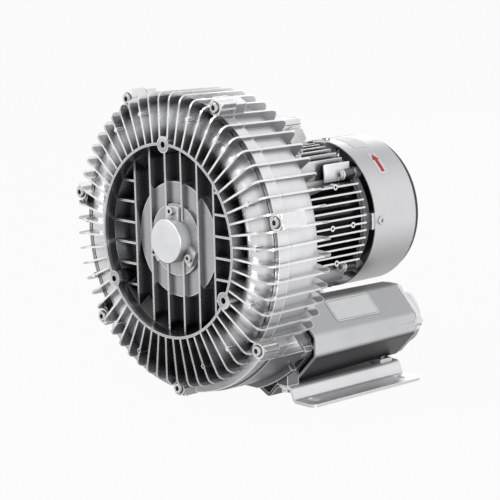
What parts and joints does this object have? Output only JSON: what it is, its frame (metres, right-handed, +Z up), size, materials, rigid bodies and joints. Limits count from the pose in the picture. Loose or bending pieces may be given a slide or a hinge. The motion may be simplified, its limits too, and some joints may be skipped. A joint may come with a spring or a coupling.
{
  "type": "side channel blower",
  "caption": "Motor-driven side channel blower: finned alloy channel casing with a ribbed dished cover, flanged motor with a fan cowl, silencers below and pressed foot rails.",
  "frame": {"origin": "middle of the foot slots, on the floor plane", "axes": "+Z up, +Y along the shaft from the front cover to the motor's fan, +X to the right seen from the front cover"},
  "size_m": [0.3726, 0.3416, 0.371],
  "materials": {
    "cast_alloy": "satin as-cast, shot blasted",
    "silver_sheet": "satin silver paint",
    "pressed_steel": "satin silver paint",
    "machined_alloy": "cast and turned",
    "plated_screws": "zinc plated",
    "ground_steel": "ground",
    "laminations": "stacked sheet",
    "copper_wire": "enamelled copper",
    "brass": "turned",
    "black_plastic": "matt moulded",
    "seal_rubber": "matt",
    "perforated_steel": "perforated sheet",
    "foam": "open-cell foam"
  },
  "bodies": {
    "casing": {"bearing_cap": "cast_alloy", "bearing_cap_screws": "plated_screws", "blanking_plugs": "plated_screws", "cover_gasket": "seal_rubber", "cover_screws": "plated_screws", "cowl_grille": "black_plastic", "cowl_screws": "plated_screws", "earth_screw": "plated_screws", "end_shield": "cast_alloy", "fan_cowl": "silver_sheet", "foot_rail_left": "pressed_steel", "foot_rail_right": "pressed_steel", "foot_screws": "plated_screws", "front_bearing_outer_race": "ground_steel", "front_cover": "cast_alloy", "lid_screws": "plated_screws", "motor_frame": "cast_alloy", "motor_screws": "plated_screws", "rear_bearing_outer_race": "ground_steel", "rear_housing": "cast_alloy", "shaft_seal": "seal_rubber", "silencer_body_left": "silver_sheet", "silencer_body_right": "silver_sheet", "silencer_end_left": "cast_alloy", "silencer_end_right": "cast_alloy", "silencer_foam_left": "foam", "silencer_foam_right": "foam", "silencer_tie_screws": "plated_screws", "silencer_tube_left": "perforated_steel", "silencer_tube_right": "perforated_steel", "stator_core": "laminations", "stator_windings": "copper_wire", "terminal_board": "black_plastic", "terminal_box": "cast_alloy", "terminal_box_gasket": "seal_rubber", "terminal_box_lid": "cast_alloy", "terminal_box_screws": "plated_screws", "terminal_studs": "brass", "wave_washer": "ground_steel"},
    "rotor": {"shaft": "ground_steel", "impeller": "machined_alloy", "impeller_key": "ground_steel", "impeller_washer": "plated_screws", "impeller_nut": "plated_screws", "rotor_core": "laminations", "rotor_end_rings": "machined_alloy", "cooling_fan": "black_plastic", "fan_circlip": "ground_steel", "front_bearing_inner_race": "ground_steel", "rear_bearing_inner_race": "ground_steel"},
    "front_ball_set": {"front_bearing_balls": "ground_steel"},
    "rear_ball_set": {"rear_bearing_balls": "ground_steel"}
  },
  "joints": [
    {"name": "rotor_spin", "type": "hinge", "parent": "casing", "child": "rotor", "pos_m": [0, 0, 0.195], "axis": [0, 1, 0], "continuous": true},
    {"name": "front_ball_spin", "type": "hinge", "parent": "casing", "child": "front_ball_set", "pos_m": [0, 0, 0.195], "axis": [0, 1, 0], "continuous": true},
    {"name": "rear_ball_spin", "type": "hinge", "parent": "casing", "child": "rear_ball_set", "pos_m": [0, 0, 0.195], "axis": [0, 1, 0], "continuous": true}
  ],
  "couplings": [
    {"joint": "front_ball_spin", "follows": "rotor_spin", "ratio": 0.4},
    {"joint": "rear_ball_spin", "follows": "rotor_spin", "ratio": 0.4}
  ]
}
